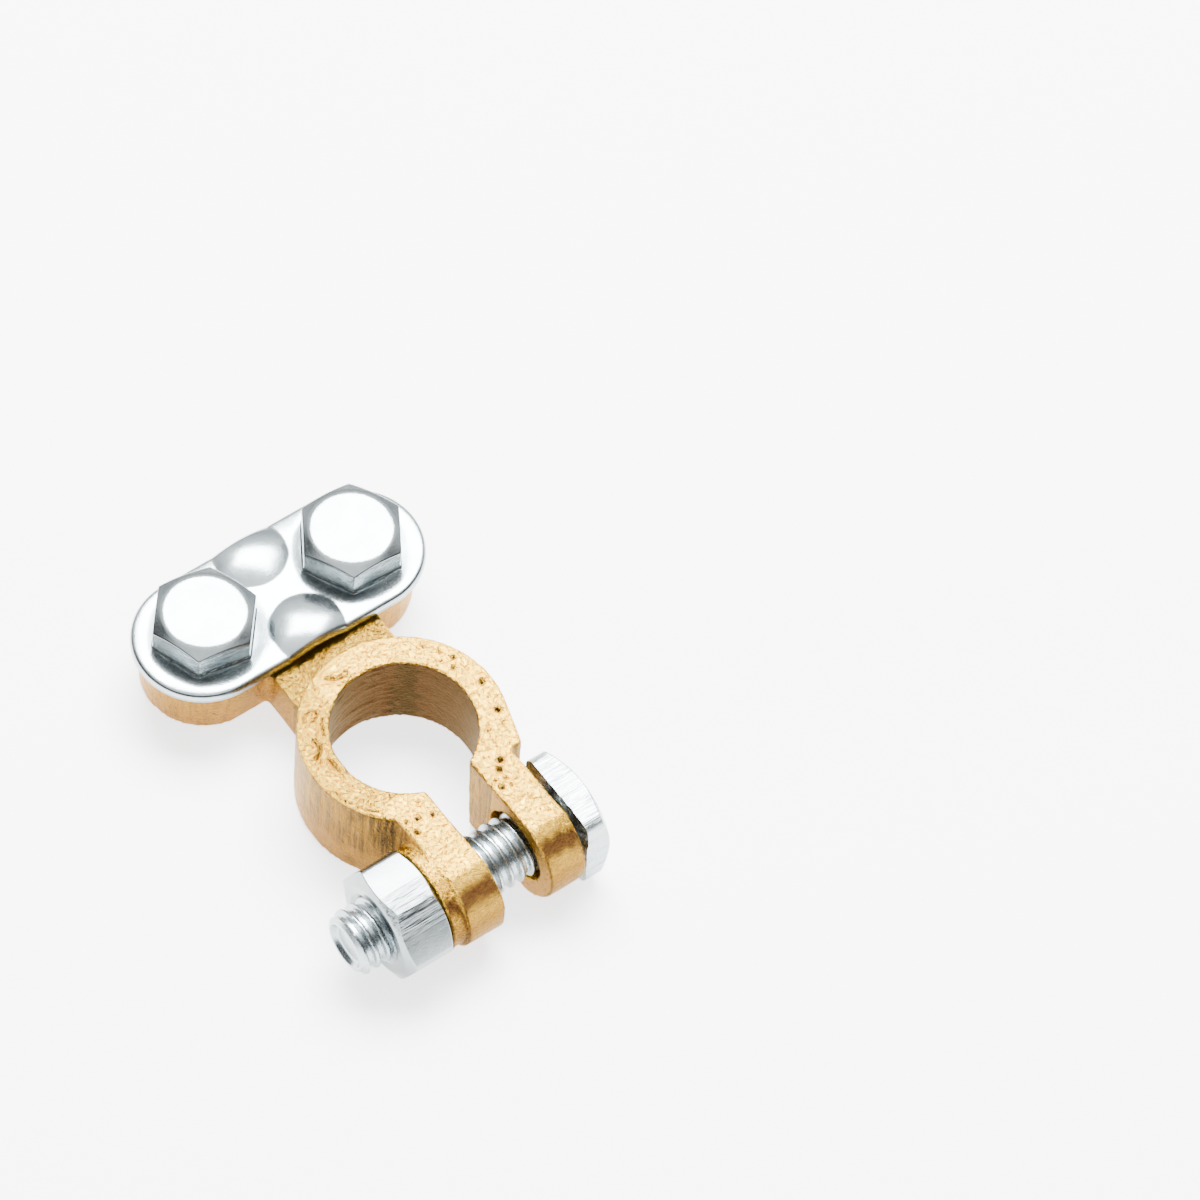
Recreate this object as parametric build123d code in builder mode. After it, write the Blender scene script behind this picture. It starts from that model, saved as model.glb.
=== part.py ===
from build123d import *
import os
from math import asin, cos, degrees, radians, sin, sqrt, tan

os.makedirs("parts", exist_ok=True)

# Battery terminal clamp. Millimetres and degrees.
# Origin: on the post axis, at the collar's bottom face. +Z goes up through the post,
# +Y from the post towards the cable strap, +X along the clamp bolt from its nut to its head.

# ---- Post collar ----
bore_diameter = 18.3            # at the bottom face
bore_taper = 1 / 9              # change of diameter for each millimetre of height
collar_wall = 3.0               # at the bottom face
collar_height = 12.9

# ---- Lugs and slit ----
slit_width = 6.3
slit_offset = 0.7               # the slit stands a little to the head's side of the post axis
lug_thickness = 4.85
lug_lean = 2.0                  # the lugs run this far off square to the clamp bolt
lug_end_radius = 6.9
lug_hole_diameter = 9.0
lug_root_y = -8.5               # where the lugs start, inside the collar's wall
boss_diameter = 12.6            # round seat of the nut
nut_seat = 8.9                  # from the post axis to the face of the boss
shoulder_reach = 10.0           # from the post axis to the tip of the shoulder that stops the head
shoulder_gap = 1.7              # between the shoulder and the square head
shoulder_start = 18.0           # direction, below +X, where the shoulder leaves the round wall

# ---- Clamp bolt and nut ----
bolt_y = -16.6
bolt_diameter = 7.8             # over the thread crests
bolt_length = 29.0              # under the head
bolt_end_chamfer = 0.9
square_side = 12.0
square_turn = -1.9
square_thickness = 3.3
square_face_diameter = 11.6     # flat circle left by the chamfer on the outer face
head_play = 0.9                 # between the head-side lug and the head, before it is tightened
nut_across_flats = 13.0
nut_thickness = 6.5
nut_turn = 54.6
nut_face_diameter = 12.2        # flat circle left by the chamfer on each face
nut_mouth_chamfer = 0.5
thread_clearance = 0.05         # radial, between a thread and its nut or tapped hole
chamfer_angle = 30.0            # of hexagon and square corners
dish_diameter = 4.8             # shallow hollow in the sheared end of the bolt
dish_depth = 0.35
dish_slope = 70.0               # of its wall, off the bolt's axis

# ---- Neck and cable base ----
neck_width = 14.6
neck_offset = 0.7
neck_bottom = 0.9
neck_drop = 0.4                 # from the base's top down to the neck's
base_y = 25.0
base_height = 8.1
base_end_radius = 7.4           # at the bottom face
base_draft = 4.2
neck_fillet = 1.0
cable_groove_width = 8.0
cable_groove_depth = 5.2
cable_groove_end = 7.6          # from the base's middle line to the blind end, towards the neck

# ---- Cable screws ----
screw_spacing = 20.3
screw_diameter = 5.9            # over the thread crests
screw_length = 8.0              # under the head
screw_end_chamfer = 0.7
hex_across_flats = 11.0
hex_height = 4.0
hex_face_diameter = 10.3        # flat circle left by the chamfer on top
hex_turn_left = -10.1
hex_turn_right = -2.1

# ---- Cable strap ----
strap_thickness = 1.2
strap_end_radius = 8.2
strap_spacing = 21.2            # between the centres of the rounded ends
strap_shift_x = -0.3            # the loose strap lies a little to one side on its screws
strap_shift_y = -0.65
strap_hole_diameter = 7.5
bulge_foot_radius = 4.8
bulge_height = 1.55
bulge_foot_blend = 1.8
bulge_offset = 5.8              # from the strap's middle line to the top of each bulge

# ---- Worked-out places ----
bore_radius = bore_diameter / 2
bore_top_radius = bore_radius - collar_height * bore_taper / 2
collar_radius = bore_radius + collar_wall
bolt_z = collar_height / 2
lug_tip_y = bolt_y - lug_end_radius
slit_left = slit_offset - slit_width / 2
slit_right = slit_offset + slit_width / 2
head_face = slit_right + lug_thickness + head_play
shoulder_y = bolt_y + square_side / 2 + shoulder_gap
neck_top = base_height - neck_drop
strap_bottom = base_height
strap_top = strap_bottom + strap_thickness
screw_places = [(-screw_spacing / 2, base_y), (screw_spacing / 2, base_y)]
bolt_plane = Plane(origin=(0, bolt_y, bolt_z), x_dir=(0, 1, 0), z_dir=(1, 0, 0))
lean = tan(radians(lug_lean))


def lean_x(x, y):
    """Place across the clamp of a lug face that crosses the bolt axis at x, at the place y along it."""
    return x + (bolt_y - y) * lean


def turned_blank(seat, corner_radius, face_radius, thickness, both_faces):
    """Turned disc that takes the corners off a hexagonal or square head, by a cone at its outer face or at both."""
    drop = (corner_radius - face_radius) * tan(radians(chamfer_angle))
    lower_rim = [(face_radius, 0), (corner_radius, drop)] if both_faces else [(corner_radius, 0)]
    upper_rim = [(corner_radius, thickness - drop), (face_radius, thickness)]
    with BuildPart() as blank:
        with BuildSketch(Plane(origin=seat.origin, x_dir=seat.x_dir, z_dir=-seat.y_dir)):
            with BuildLine():
                Polyline((0, 0), *lower_rim, *upper_rim, (0, thickness), close=True)
            make_face()
        revolve(axis=Axis(seat.origin, seat.z_dir))
    return blank.part


# ---- Lugs: two ears that carry the clamp bolt, round about its axis at their ends ----
with BuildPart() as lugs:
    with BuildSketch():
        for face in (slit_left - lug_thickness, slit_right):
            with BuildLine():
                Polyline(
                    (lean_x(face, lug_root_y), lug_root_y),
                    (lean_x(face + lug_thickness, lug_root_y), lug_root_y),
                    (lean_x(face + lug_thickness, lug_tip_y), lug_tip_y),
                    (lean_x(face, lug_tip_y), lug_tip_y),
                    close=True,
                )
            make_face()
    extrude(amount=collar_height)
    with BuildSketch(bolt_plane.offset(-collar_radius)):
        Circle(lug_end_radius)
        Rectangle(lug_root_y - bolt_y, 2 * lug_end_radius, align=(Align.MIN, Align.CENTER))
    extrude(amount=2 * collar_radius, mode=Mode.INTERSECT)

# ---- Clamp body: collar, lugs, shoulder, neck and cable base, cast in brass as one piece ----
with BuildPart() as clamp_body:
    # Neck
    with BuildSketch(Plane.XY.offset(neck_bottom)):
        with Locations((neck_offset, 0)):
            Rectangle(neck_width, base_y, align=(Align.CENTER, Align.MIN))
    extrude(amount=neck_top - neck_bottom)
    # Cable base, drafted so that it widens upwards
    with BuildSketch():
        with Locations((0, base_y)):
            SlotCenterToCenter(screw_spacing, 2 * base_end_radius)
    extrude(amount=base_height, taper=-base_draft)
    # Fillets where the neck's sides run into the base
    base_front = base_y - base_end_radius
    upright = clamp_body.edges().filter_by(Axis.Z, tolerance=2 * base_draft)
    fillet(upright.filter_by_position(Axis.Y, base_front - neck_fillet, base_front), neck_fillet)
    # Cable groove: a round-bottomed channel from the far side, blind towards the neck
    with BuildSketch(Plane.XZ.offset(-(base_y - cable_groove_end))):
        with Locations((0, base_height - cable_groove_depth + cable_groove_width / 2)):
            Circle(cable_groove_width / 2)
            Rectangle(cable_groove_width, cable_groove_depth, align=(Align.CENTER, Align.MIN))
    extrude(amount=-(cable_groove_end + 2 * base_end_radius), mode=Mode.SUBTRACT)
    # Collar with the shoulder that stops the square head from turning
    with BuildSketch():
        Circle(collar_radius)
        with BuildLine():
            Polyline(
                (0, 0),
                (collar_radius * cos(radians(shoulder_start)), -collar_radius * sin(radians(shoulder_start))),
                (shoulder_reach, shoulder_y),
                (lean_x(slit_right + lug_thickness, shoulder_y), shoulder_y),
                close=True,
            )
        make_face()
    extrude(amount=collar_height)
    # Lugs and the round seat of the nut
    add(lugs.part)
    with BuildSketch(bolt_plane.offset(-nut_seat)):
        Circle(boss_diameter / 2)
    extrude(amount=nut_seat + slit_left - lug_thickness / 2)
    # Tapered bore, slit, bolt hole and tapped screw holes
    Cone(
        bottom_radius=bore_radius,
        top_radius=bore_top_radius,
        height=collar_height,
        align=(Align.CENTER, Align.CENTER, Align.MIN),
        mode=Mode.SUBTRACT,
    )
    with BuildSketch():
        with BuildLine():
            Polyline(
                (lean_x(slit_left, 0), 0),
                (lean_x(slit_right, 0), 0),
                (lean_x(slit_right, lug_tip_y - 1), lug_tip_y - 1),
                (lean_x(slit_left, lug_tip_y - 1), lug_tip_y - 1),
                close=True,
            )
        make_face()
    extrude(amount=collar_height, mode=Mode.SUBTRACT)
    with BuildSketch(bolt_plane.offset(-collar_radius)):
        Circle(lug_hole_diameter / 2)
    extrude(amount=2 * collar_radius, mode=Mode.SUBTRACT)
    with BuildSketch():
        with Locations(*screw_places):
            Circle(screw_diameter / 2 + thread_clearance)
    extrude(amount=base_height, mode=Mode.SUBTRACT)
clamp_body.part.label = "clamp_body"
export_step(clamp_body.part, "parts/clamp_body.step")

# ---- Clamp bolt: square head, corners chamfered on its outer face, and a shank with a hollow end ----
head_plane = bolt_plane.offset(head_face)
with BuildPart() as clamp_bolt:
    with BuildSketch(head_plane):
        Rectangle(square_side, square_side, rotation=square_turn)
    extrude(amount=square_thickness)
    add(
        turned_blank(head_plane, square_side / sqrt(2), square_face_diameter / 2, square_thickness, False),
        mode=Mode.INTERSECT,
    )
    with BuildSketch(head_plane):
        Circle(bolt_diameter / 2)
    extrude(amount=-bolt_length)
    end_plane = bolt_plane.offset(head_face - bolt_length)
    chamfer(clamp_bolt.faces().sort_by(Axis.X)[0].edges(), bolt_end_chamfer)
    with BuildSketch(end_plane):
        Circle(dish_diameter / 2)
    extrude(amount=dish_depth, taper=dish_slope, mode=Mode.SUBTRACT)
clamp_bolt.part.label = "clamp_bolt"
export_step(clamp_bolt.part, "parts/clamp_bolt.step")

# ---- Clamp nut: hexagon, chamfered on both faces ----
nut_plane = bolt_plane.offset(-nut_seat - nut_thickness)
with BuildPart() as clamp_nut:
    with BuildSketch(nut_plane):
        RegularPolygon(nut_across_flats / 2, 6, major_radius=False, rotation=nut_turn)
    extrude(amount=nut_thickness)
    add(
        turned_blank(nut_plane, nut_across_flats / sqrt(3), nut_face_diameter / 2, nut_thickness, True),
        mode=Mode.INTERSECT,
    )
    with BuildSketch(nut_plane):
        Circle(bolt_diameter / 2 + thread_clearance)
    extrude(amount=nut_thickness, mode=Mode.SUBTRACT)
    mouths = clamp_nut.edges().filter_by(GeomType.CIRCLE).filter_by(
        lambda edge: abs(edge.radius - bolt_diameter / 2 - thread_clearance) < 0.001
    )
    chamfer(mouths, nut_mouth_chamfer)
clamp_nut.part.label = "clamp_nut"
export_step(clamp_nut.part, "parts/clamp_nut.step")

# ---- Cable screws: hexagon heads that bear on the strap ----
for side, place, turn in (("left", screw_places[0], hex_turn_left), ("right", screw_places[1], hex_turn_right)):
    seat = Plane(origin=(place[0], place[1], strap_top), x_dir=(1, 0, 0), z_dir=(0, 0, 1))
    with BuildPart() as cable_screw:
        with BuildSketch(seat):
            RegularPolygon(hex_across_flats / 2, 6, major_radius=False, rotation=turn)
        extrude(amount=hex_height)
        add(
            turned_blank(seat, hex_across_flats / sqrt(3), hex_face_diameter / 2, hex_height, False),
            mode=Mode.INTERSECT,
        )
        with BuildSketch(seat):
            Circle(screw_diameter / 2)
        extrude(amount=-screw_length)
        chamfer(cable_screw.faces().sort_by(Axis.Z)[0].edges(), screw_end_chamfer)
    cable_screw.part.label = f"cable_screw_{side}"
    export_step(cable_screw.part, f"parts/cable_screw_{side}.step")

# ---- Cable strap: pressed plate with a round bulge over the cable at each long edge ----
strap_x = strap_shift_x
strap_y = base_y + strap_shift_y
arc_sum = (bulge_foot_radius**2 + bulge_height**2) / (2 * bulge_height)
crown_radius = arc_sum - bulge_foot_blend
crown_centre = (0, bulge_height - crown_radius)
foot_centre = (bulge_foot_radius, bulge_foot_blend)
arc_angle = asin(bulge_foot_radius / arc_sum)
inner_crown = crown_radius - strap_thickness
inner_blend = bulge_foot_blend + strap_thickness
with BuildPart() as cable_strap:
    with BuildSketch(Plane.XY.offset(strap_bottom)):
        with Locations((strap_x, strap_y)):
            SlotCenterToCenter(strap_spacing, 2 * strap_end_radius)
        with Locations((strap_x, strap_y - bulge_offset), (strap_x, strap_y + bulge_offset)):
            Circle(bulge_foot_radius, mode=Mode.SUBTRACT)
    extrude(amount=strap_thickness)
    for offset_y in (-bulge_offset, bulge_offset):
        top = (strap_x, strap_y + offset_y, strap_top)
        with BuildSketch(Plane(origin=top, x_dir=(1, 0, 0), z_dir=(0, -1, 0))):
            with BuildLine():
                CenterArc(crown_centre, crown_radius, 90, -degrees(arc_angle))
                CenterArc(foot_centre, bulge_foot_blend, 270 - degrees(arc_angle), degrees(arc_angle))
                Line((bulge_foot_radius, 0), (bulge_foot_radius, -strap_thickness))
                Polyline(
                    (bulge_foot_radius, -strap_thickness),
                    (bulge_foot_radius - inner_blend * sin(arc_angle), bulge_foot_blend - inner_blend * cos(arc_angle)),
                    (inner_crown * sin(arc_angle / 2), crown_centre[1] + inner_crown * cos(arc_angle / 2)),
                    (0, bulge_height - strap_thickness),
                    (0, bulge_height),
                )
            make_face()
        revolve(axis=Axis(top, (0, 0, 1)))
    with BuildSketch(Plane.XY.offset(strap_bottom - 1)):
        with Locations((strap_x, strap_y)):
            SlotCenterToCenter(strap_spacing, 2 * strap_end_radius)
    extrude(amount=strap_thickness + bulge_height + 2, mode=Mode.INTERSECT)
    with BuildSketch(Plane.XY.offset(strap_bottom)):
        with Locations((strap_x - screw_spacing / 2, strap_y), (strap_x + screw_spacing / 2, strap_y)):
            Circle(strap_hole_diameter / 2)
    extrude(amount=strap_thickness, mode=Mode.SUBTRACT)
cable_strap.part.label = "cable_strap"
export_step(cable_strap.part, "parts/cable_strap.step")
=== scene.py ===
import math

import bpy
import numpy as np
from bpy.props import FloatProperty, FloatVectorProperty, IntProperty, PointerProperty
from mathutils import Matrix, Vector


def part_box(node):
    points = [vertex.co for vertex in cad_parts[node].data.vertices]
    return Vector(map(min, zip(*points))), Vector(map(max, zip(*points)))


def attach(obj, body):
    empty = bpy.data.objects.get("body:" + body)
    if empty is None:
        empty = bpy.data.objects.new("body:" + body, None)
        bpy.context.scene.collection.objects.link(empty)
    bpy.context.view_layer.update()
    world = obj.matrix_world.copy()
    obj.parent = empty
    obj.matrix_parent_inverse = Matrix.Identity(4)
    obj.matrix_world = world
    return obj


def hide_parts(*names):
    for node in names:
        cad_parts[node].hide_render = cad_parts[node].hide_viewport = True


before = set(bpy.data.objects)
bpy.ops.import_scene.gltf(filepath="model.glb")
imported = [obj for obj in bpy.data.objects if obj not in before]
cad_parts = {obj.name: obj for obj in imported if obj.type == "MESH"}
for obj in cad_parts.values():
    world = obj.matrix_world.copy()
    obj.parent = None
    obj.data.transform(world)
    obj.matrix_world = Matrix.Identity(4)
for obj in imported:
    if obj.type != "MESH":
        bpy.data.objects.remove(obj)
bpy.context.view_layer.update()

bl_info = {
    "name": "Battery terminal clamp",
    "version": (1, 0, 0),
    "blender": (4, 5, 0),
    "location": "3D View > Sidebar > Clamp",
    "description": "Builds the casting, fasteners, strap and finishes of a battery terminal clamp",
    "category": "Object",
}

MM = 0.001

# Places shared by the pieces, in millimetres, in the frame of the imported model:
# Z along the post, Y from the post towards the strap, X along the clamp bolt from nut to head.
BOLT_Y, BOLT_Z = -16.6, 6.45
HEAD_FACE = 9.6             # inner face of the square head
NUT_SEAT = -8.9             # face of the boss that the nut bears on
THREAD_START = 0.318        # place along the bolt of a thread crest on its +Y side
STRAP_TOP = 9.3
SCREW_Y, SCREW_X = 25.0, 10.15
COLLAR_TOP = 12.9

# Blow holes open at the casting's top face: x, y, radius
PITS = np.array([
    (7.96, 7.54, 0.18), (9.14, 5.95, 0.22), (9.95, 4.56, 0.30), (9.16, 3.44, 0.28), (8.52, 4.79, 0.16), (10.79, 0.09, 0.34),
    (10.25, -3.91, 0.40), (9.67, -5.63, 0.20), (7.7, -5.58, 0.18), (6.64, -9.45, 0.40), (5.88, -10.38, 0.38), (4.62, -11.26, 0.20),
    (5.78, -11.68, 0.22), (6.79, -12.36, 0.18), (5.84, -12.8, 0.20), (4.69, -12.46, 0.34), (-6.82, -10.2, 0.24), (-3.73, -11.03, 0.26),
    (-4.23, -8.73, 0.18), (-6.36, -6.48, 0.16), (-1.31, 9.72, 0.24), (-6.55, -11.92, 0.34), (-5.42, -10.51, 0.30), (6.8, -15.1, 0.18),
])
# Wrinkles and chips of the top face: points along each, then width and the rise of its lip
WRINKLES = (
    ([(-8.92, 6.82), (-8.5, 7.44), (-7.61, 7.68), (-7.07, 7.32), (-7.29, 6.63), (-8.21, 6.35)], 0.20, 0.07),
    ([(-3.59, 10.08), (-2.73, 9.5), (-1.77, 9.29)], 0.30, 0.10),
    ([(-9.47, 4.3), (-9.21, 3.4), (-9.59, 2.76), (-10.5, 2.11)], 0.30, 0.10),
    ([(-9.3, 1.13), (-9.3, 0.23), (-9.24, -0.6)], 0.30, 0.12),
    ([(-6.9, 6.1), (-7.5, 5.3), (-8.0, 4.0)], 0.22, 0.05),
    ([(-10.1, -5.68), (-9.5, -6.5), (-8.8, -7.2), (-8.3, -7.9)], 0.16, 0.10),
    ([(-11.1, -2.6), (-11.0, -3.8), (-10.6, -4.8)], 0.16, 0.05),
)


# ------------------------------------------------------------------ small helpers

def linear(hex_value):
    """An sRGB hex colour as linear RGBA: each channel over 12.92 near black, otherwise the 2.4 power curve."""
    rgb = np.array([int(hex_value[i:i + 2], 16) for i in (1, 3, 5)]) / 255
    rgb = np.where(rgb <= 0.04045, rgb / 12.92, ((rgb + 0.055) / 1.055) ** 2.4)
    return (*rgb.tolist(), 1.0)


def smooth_step(edge0, edge1, x):
    """0 below edge0, 1 above edge1, and the cubic 3t^2 - 2t^3 between them."""
    t = np.clip((x - edge0) / (edge1 - edge0), 0, 1)
    return t * t * (3 - 2 * t)


def soft_min(a, b, k):
    """The smaller of a and b, with a round of width k where they cross: min minus k/4 of the squared closeness."""
    h = np.clip(1 - np.abs(a - b) / k, 0, 1)
    return np.minimum(a, b) - h * h * k / 4


def noise(points, size, seed):
    """Value noise from -1 to 1 at points (n, 3): a hash of each cell corner, blended by the cubic step inside cells of the given size."""
    p = points / size + seed * 17.31
    cell = np.floor(p).astype(np.int64)
    t = p - cell
    t = t * t * (3 - 2 * t)
    out = np.zeros(len(p))
    for corner in np.ndindex(2, 2, 2):
        q = cell + np.array(corner)
        h = (q[:, 0] * 73856093) ^ (q[:, 1] * 19349663) ^ (q[:, 2] * 83492791) ^ (seed * 2654435)
        h = (h ^ (h >> 13)) * 1274126177 & 0x7FFFFFFF
        value = (h ^ (h >> 16)) % 65536 / 32767.5 - 1
        weight = np.prod(np.where(np.array(corner), t, 1 - t), axis=1)
        out += value * weight
    return out


def finish_mesh(name, points, faces, material, body, nodes, smooth_angle):
    """Puts points (mm) and faces into a mesh object at the origin, with its material and body, and hides the CAD nodes
    it stands for.
    """
    mesh = bpy.data.meshes.new(name)
    mesh.from_pydata((np.asarray(points) * MM).tolist(), [], [f for f in faces])
    mesh.validate()
    piece = bpy.data.objects.new(name, mesh)
    bpy.context.scene.collection.objects.link(piece)
    mesh.materials.append(material)
    mesh.shade_smooth()
    mesh.set_sharp_from_angle(angle=math.radians(smooth_angle))
    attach(piece, body)
    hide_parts(*nodes)
    return piece


def grid_faces(rows, cols, wrap_rows, first):
    """Quads between neighbouring rows and columns of a grid whose columns close on themselves, numbered from first."""
    r = np.arange(rows if wrap_rows else rows - 1)[:, None]
    c = np.arange(cols)[None, :]
    r2, c2 = (r + 1) % rows, (c + 1) % cols
    quads = np.stack([r * cols + c, r * cols + c2, r2 * cols + c2, r2 * cols + c], axis=-1)
    return (quads.reshape(-1, 4) + first).tolist()


def turned(along, radius, angle, frame_axes, closed, first=0):
    """A surface round an axis: row i is the ring of points at height along[i] and radius[i, j] in direction angle[j].

    Rows whose radius is zero at either end become one pole point with a fan of triangles; a closed surface joins its last row to its first.
    """
    origin, u, v, w = frame_axes
    ring = np.cos(angle)[:, None] * u + np.sin(angle)[:, None] * v
    points = origin + along[..., None] * w + radius[..., None] * ring[None, :, :]
    rows, cols = radius.shape
    flat = points.reshape(-1, 3)
    faces = grid_faces(rows, cols, closed, first)
    if not closed:
        start, end = first + len(flat), first + len(flat) + 1
        flat = np.vstack([flat, points[0].mean(axis=0), points[-1].mean(axis=0)])
        ring_ids = np.arange(cols)
        nxt = (ring_ids + 1) % cols
        last = first + (rows - 1) * cols
        faces += np.stack([np.full(cols, start), first + nxt, first + ring_ids], axis=1).tolist()
        faces += np.stack([np.full(cols, end), last + ring_ids, last + nxt], axis=1).tolist()
    return flat, faces


def round_path(corners, fillets, step):
    """A meridian through corners (height, radius) with each inner corner rounded by its fillet: tangent points on both runs joined by a quadratic blend."""
    corners = [np.array(c, dtype=float) for c in corners]
    pieces = [corners[0][None, :]]
    for before, here, after, f in zip(corners[:-2], corners[1:-1], corners[2:], fillets):
        a, b = before - here, after - here
        f = min(f, 0.45 * np.linalg.norm(a), 0.45 * np.linalg.norm(b))
        p, q = here + a / np.linalg.norm(a) * f, here + b / np.linalg.norm(b) * f
        t = np.linspace(0, 1, 7)[:, None]
        pieces.append((1 - t) ** 2 * p + 2 * t * (1 - t) * here + t ** 2 * q)
    pieces.append(corners[-1][None, :])
    path = np.vstack(pieces)
    out = [path[:1]]
    for p, q in zip(path[:-1], path[1:]):
        n = max(1, int(np.ceil(np.linalg.norm(q - p) / step)))
        out.append(p + (q - p) * (np.arange(1, n + 1) / n)[:, None])
    return np.vstack(out)


def polygon_angles(sides, turn, per_side):
    """Directions round a polygon, crowded towards its corners by a sine curve, where the flats meet."""
    t = np.linspace(-1, 1, per_side, endpoint=False)
    warped = 0.55 * t + 0.45 * np.sin(t * np.pi / 2)
    one = (warped * np.pi / sides)
    return (np.arange(sides)[:, None] * 2 * np.pi / sides + one[None, :]).ravel() + turn


def polygon_radius(angle, sides, turn, across_flats, edge_round, swell=0.0):
    """Distance from the axis to a rounded polygon.

    A flat is half its width over the cosine; within a corner it is the far crossing of the ray with the corner's
    circle; the flats fall away by swell towards the corners, as the cube of the way there.
    """
    half, sector = across_flats / 2, 2 * np.pi / sides
    a = (angle - turn + sector / 2) % sector - sector / 2
    beta = sector / 2 - np.abs(a)
    centre = (half - edge_round) / np.cos(sector / 2)
    starts = np.arctan((half - edge_round) * np.tan(sector / 2) / half)
    corner = centre * np.cos(beta) + np.sqrt(np.maximum(edge_round ** 2 - (centre * np.sin(beta)) ** 2, 0))
    return np.where(np.abs(a) > starts, corner, half / np.cos(a)) - swell * (np.abs(a) / (sector / 2)) ** 3


def thread_depth(along, angle, pitch, depth, start=0.0):
    """Depth below the crests of a right-hand rolled thread: a narrow crest, flanks by the cubic step, and a broad root."""
    t = np.abs(((along - start) / pitch - angle / (2 * np.pi) + 0.5) % 1.0 - 0.5)
    return depth * smooth_step(0.06, 0.34, t)


def distance_to_path(points, path):
    """Smallest distance from points (n, 2) to a broken line: to each run, the foot of the perpendicular kept between its ends."""
    path = np.array(path)
    a, b = path[:-1], path[1:]
    run = b - a
    t = np.clip(np.einsum("nkc,kc->nk", points[:, None, :] - a, run) / (run ** 2).sum(axis=1), 0, 1)
    return np.linalg.norm(points[:, None, :] - (a + t[..., None] * run), axis=2).min(axis=1)


def mark(mesh, **masks):
    """Keeps each mask, one number a vertex, as a mesh attribute of that name for the material to read."""
    for name, values in masks.items():
        mesh.attributes.new(name, "FLOAT", "POINT").data.foreach_set("value", np.asarray(values, dtype=np.float32).ravel())


# ------------------------------------------------------------------ node materials

def add(tree, kind, inputs=None, **settings):
    """Adds a node to tree, applies its settings, and sets or links each named or numbered input."""
    node = tree.nodes.new(kind)
    for key, value in settings.items():
        setattr(node, key, value)
    for key, value in (inputs or {}).items():
        socket = node.inputs[key]
        if isinstance(value, bpy.types.NodeSocket):
            tree.links.new(value, socket)
        else:
            socket.default_value = value
    return node


def new_material(name, metallic=1.0):
    """A material with one shader and its output, and the object coordinates that its patterns read."""
    material = bpy.data.materials.new(name)
    material.use_nodes = True
    tree = material.node_tree
    tree.nodes.clear()
    output = add(tree, "ShaderNodeOutputMaterial")
    shader = add(tree, "ShaderNodeBsdfPrincipled", {"Metallic": metallic})
    tree.links.new(shader.outputs["BSDF"], output.inputs["Surface"])
    place = add(tree, "ShaderNodeTexCoord").outputs["Object"]
    return material, tree, shader, place


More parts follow.
